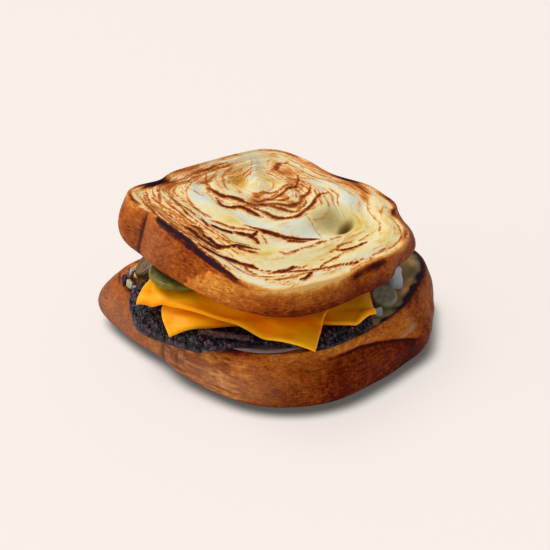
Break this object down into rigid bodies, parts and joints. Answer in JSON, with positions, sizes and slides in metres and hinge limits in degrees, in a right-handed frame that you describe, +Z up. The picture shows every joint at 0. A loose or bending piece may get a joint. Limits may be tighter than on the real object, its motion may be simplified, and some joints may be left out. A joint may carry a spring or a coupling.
{
  "type": "smash burger croissant",
  "caption": "A smash burger in a laminated swirl loaf: craggy beef patty, melted cheese slices, pickle chips and onion between thick griddled croissant slices.",
  "frame": {"origin": "on the ground under the middle of the sandwich's bounding box", "axes": "+Z up out of the top slice; X along the side with the hanging cheese corners; +Y away from that side"},
  "size_m": [0.1338, 0.1414, 0.0744],
  "materials": {
    "bread": "baked crust, satin, with a dry laminated cut face",
    "beef": "seared, rough, slightly greasy",
    "cheese": "melted, soft gloss",
    "pickle": "wet",
    "onion": "wet, slightly see-through",
    "grilled_onion": "browned, greasy"
  },
  "bodies": {
    "root": {"bottom_slice": "bread", "onion_slice": "onion", "patty": "beef", "cheese_lower": "cheese", "cheese_upper": "cheese", "top_slice": "bread", "grilled_onions": "grilled_onion", "pickle_front": "pickle", "pickle_left": "pickle", "pickle_right": "pickle", "onion_petal_right": "onion", "onion_bit_right": "onion", "onion_bit_left_1": "onion", "onion_bit_left_2": "onion", "onion_bit_left_3": "onion", "grilled_bit_left": "grilled_onion"}
  },
  "joints": []
}
